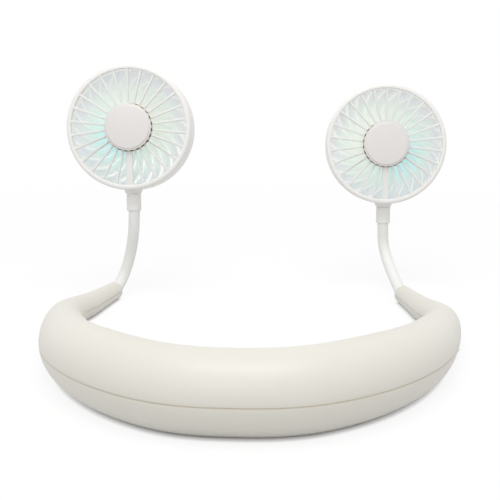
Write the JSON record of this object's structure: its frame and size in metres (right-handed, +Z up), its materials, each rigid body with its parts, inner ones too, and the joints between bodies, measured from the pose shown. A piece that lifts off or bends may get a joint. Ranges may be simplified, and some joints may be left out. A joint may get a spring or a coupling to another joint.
{
  "type": "portable fan",
  "caption": "Battery fan worn round the neck: a C-shaped tapering band lying flat, with a gooseneck on each arm tip carrying a round caged fan head.",
  "frame": {"origin": "Middle of the flat land under the back of the band, on the surface the fan lies on", "axes": "+Z up, +Y from the back of the band towards the arm tips, +X to the right seen from behind the band; the fan faces look towards -Y"},
  "size_m": [0.2345, 0.2791, 0.1454],
  "materials": {
    "ivory_shell": "satin",
    "gooseneck_white": "matte",
    "head_white": "satin",
    "blade_mint": "gloss",
    "pad_felt": "matte",
    "board_green": "satin",
    "steel": "satin",
    "cell_can": "satin",
    "lens": "gloss"
  },
  "bodies": {
    "band": {"upper_shell": "ivory_shell", "lower_shell": "ivory_shell", "battery_cell_left": "cell_can", "battery_cell_right": "cell_can", "main_board": "board_green", "charge_board": "board_green", "charging_socket": "steel", "indicator_lens": "lens", "speed_switch": "board_green", "light_switch": "board_green", "shell_screw_1": "steel", "shell_screw_2": "steel", "shell_screw_3": "steel", "shell_screw_4": "steel", "neck_root_left": "gooseneck_white", "neck_root_right": "gooseneck_white"},
    "speed_key": {"speed_button": "head_white"},
    "light_key": {"light_button": "head_white"},
    "left_link_1": {"neck_link_left_1": "gooseneck_white"},
    "left_link_2": {"neck_link_left_2": "gooseneck_white"},
    "left_link_3": {"neck_link_left_3": "gooseneck_white"},
    "left_link_4": {"neck_link_left_4": "gooseneck_white"},
    "left_link_5": {"neck_link_left_5": "gooseneck_white"},
    "left_head": {"sleeve_left": "head_white", "front_grille_left": "head_white", "rear_shell_left": "head_white", "fan_motor_left": "steel", "led_board_left": "board_green", "aroma_pad_left": "pad_felt"},
    "left_fan": {"impeller_left": "blade_mint", "motor_shaft_left": "steel"},
    "left_cap": {"aroma_cap_left": "head_white"},
    "right_link_1": {"neck_link_right_1": "gooseneck_white"},
    "right_link_2": {"neck_link_right_2": "gooseneck_white"},
    "right_link_3": {"neck_link_right_3": "gooseneck_white"},
    "right_link_4": {"neck_link_right_4": "gooseneck_white"},
    "right_link_5": {"neck_link_right_5": "gooseneck_white"},
    "right_head": {"sleeve_right": "head_white", "front_grille_right": "head_white", "rear_shell_right": "head_white", "fan_motor_right": "steel", "led_board_right": "board_green", "aroma_pad_right": "pad_felt"},
    "right_fan": {"impeller_right": "blade_mint", "motor_shaft_right": "steel"},
    "right_cap": {"aroma_cap_right": "head_white"}
  },
  "joints": [
    {"name": "speed_press", "type": "slide", "parent": "band", "child": "speed_key", "axis": [-0.8259, 0.2606, 0.5], "range_m": [0, 0.0006], "stiffness_N_per_m": 1500, "springref_m": -0.0003},
    {"name": "light_press", "type": "slide", "parent": "band", "child": "light_key", "axis": [0.8259, 0.2606, 0.5], "range_m": [0, 0.0006], "stiffness_N_per_m": 1500, "springref_m": -0.0003},
    {"name": "left_neck_lean_1", "type": "hinge", "parent": "band", "child": "left_link_1", "pos_m": [-0.08978, 0.20742, 0.005], "axis": [0.9381, -0.2156, -0.2712], "range_deg": [-12, 20]},
    {"name": "left_neck_sway_1", "type": "hinge", "parent": "left_link_1", "child": "left_link_2", "pos_m": [-0.08611, 0.21361, 0.01278], "axis": [0, 0.9996, -0.029], "range_deg": [-15, 15]},
    {"name": "left_neck_lean_2", "type": "hinge", "parent": "left_link_2", "child": "left_link_3", "pos_m": [-0.0826, 0.2139, 0.02289], "axis": [0.9675, 0.0692, -0.2433], "range_deg": [-12, 20]},
    {"name": "left_neck_sway_2", "type": "hinge", "parent": "left_link_3", "child": "left_link_4", "pos_m": [-0.07987, 0.21105, 0.03293], "axis": [0, 0.936, 0.3519], "range_deg": [-15, 15]},
    {"name": "left_neck_lean_3", "type": "hinge", "parent": "left_link_4", "child": "left_link_5", "pos_m": [-0.07784, 0.20732, 0.04286], "axis": [0.996, 0.0176, -0.0879], "range_deg": [-12, 20]},
    {"name": "left_neck_sway_3", "type": "hinge", "parent": "left_link_5", "child": "left_head", "pos_m": [-0.07688, 0.20522, 0.0533], "axis": [0, 0.9895, -0.1444], "range_deg": [-15, 15]},
    {"name": "left_fan_spin", "type": "hinge", "parent": "left_head", "child": "left_fan", "pos_m": [-0.07828, 0.21294, 0.10622], "axis": [0, -0.9895, 0.1444], "continuous": true},
    {"name": "left_cap_twist", "type": "hinge", "parent": "left_head", "child": "left_cap", "pos_m": [-0.07828, 0.21294, 0.10622], "axis": [0, -0.9895, 0.1444], "range_deg": [0, 40]},
    {"name": "right_neck_lean_1", "type": "hinge", "parent": "band", "child": "right_link_1", "pos_m": [0.08978, 0.20742, 0.005], "axis": [0.9797, 0.1806, 0.0869], "range_deg": [-12, 20]},
    {"name": "right_neck_sway_1", "type": "hinge", "parent": "right_link_1", "child": "right_link_2", "pos_m": [0.08762, 0.21696, 0.00959], "axis": [0, 0.4889, -0.8723], "range_deg": [-15, 15]},
    {"name": "right_neck_lean_2", "type": "hinge", "parent": "right_link_2", "child": "right_link_3", "pos_m": [0.08535, 0.22617, 0.01475], "axis": [0.9744, 0.1786, 0.1362], "range_deg": [-12, 20]},
    {"name": "right_neck_sway_2", "type": "hinge", "parent": "right_link_3", "child": "right_link_4", "pos_m": [0.08293, 0.23452, 0.02112], "axis": [0, 0.9077, -0.4196], "range_deg": [-15, 15]},
    {"name": "right_neck_lean_3", "type": "hinge", "parent": "right_link_4", "child": "right_link_5", "pos_m": [0.08068, 0.23882, 0.03042], "axis": [0.9989, -0.0047, 0.0459], "range_deg": [-12, 20]},
    {"name": "right_neck_sway_3", "type": "hinge", "parent": "right_link_5", "child": "right_head", "pos_m": [0.08018, 0.23772, 0.0411], "axis": [0, 0.9923, -0.1236], "range_deg": [-15, 15]},
    {"name": "right_fan_spin", "type": "hinge", "parent": "right_head", "child": "right_fan", "pos_m": [0.08018, 0.24434, 0.09419], "axis": [0, -0.9923, 0.1236], "continuous": true},
    {"name": "right_cap_twist", "type": "hinge", "parent": "right_head", "child": "right_cap", "pos_m": [0.08018, 0.24434, 0.09419], "axis": [0, -0.9923, 0.1236], "range_deg": [0, 40]}
  ],
  "couplings": [
    {"joint": "left_neck_lean_2", "follows": "left_neck_lean_1", "ratio": 1},
    {"joint": "left_neck_sway_2", "follows": "left_neck_sway_1", "ratio": 1},
    {"joint": "left_neck_lean_3", "follows": "left_neck_lean_1", "ratio": 1},
    {"joint": "left_neck_sway_3", "follows": "left_neck_sway_1", "ratio": 1},
    {"joint": "right_neck_lean_2", "follows": "right_neck_lean_1", "ratio": 1},
    {"joint": "right_neck_sway_2", "follows": "right_neck_sway_1", "ratio": 1},
    {"joint": "right_neck_lean_3", "follows": "right_neck_lean_1", "ratio": 1},
    {"joint": "right_neck_sway_3", "follows": "right_neck_sway_1", "ratio": 1}
  ]
}
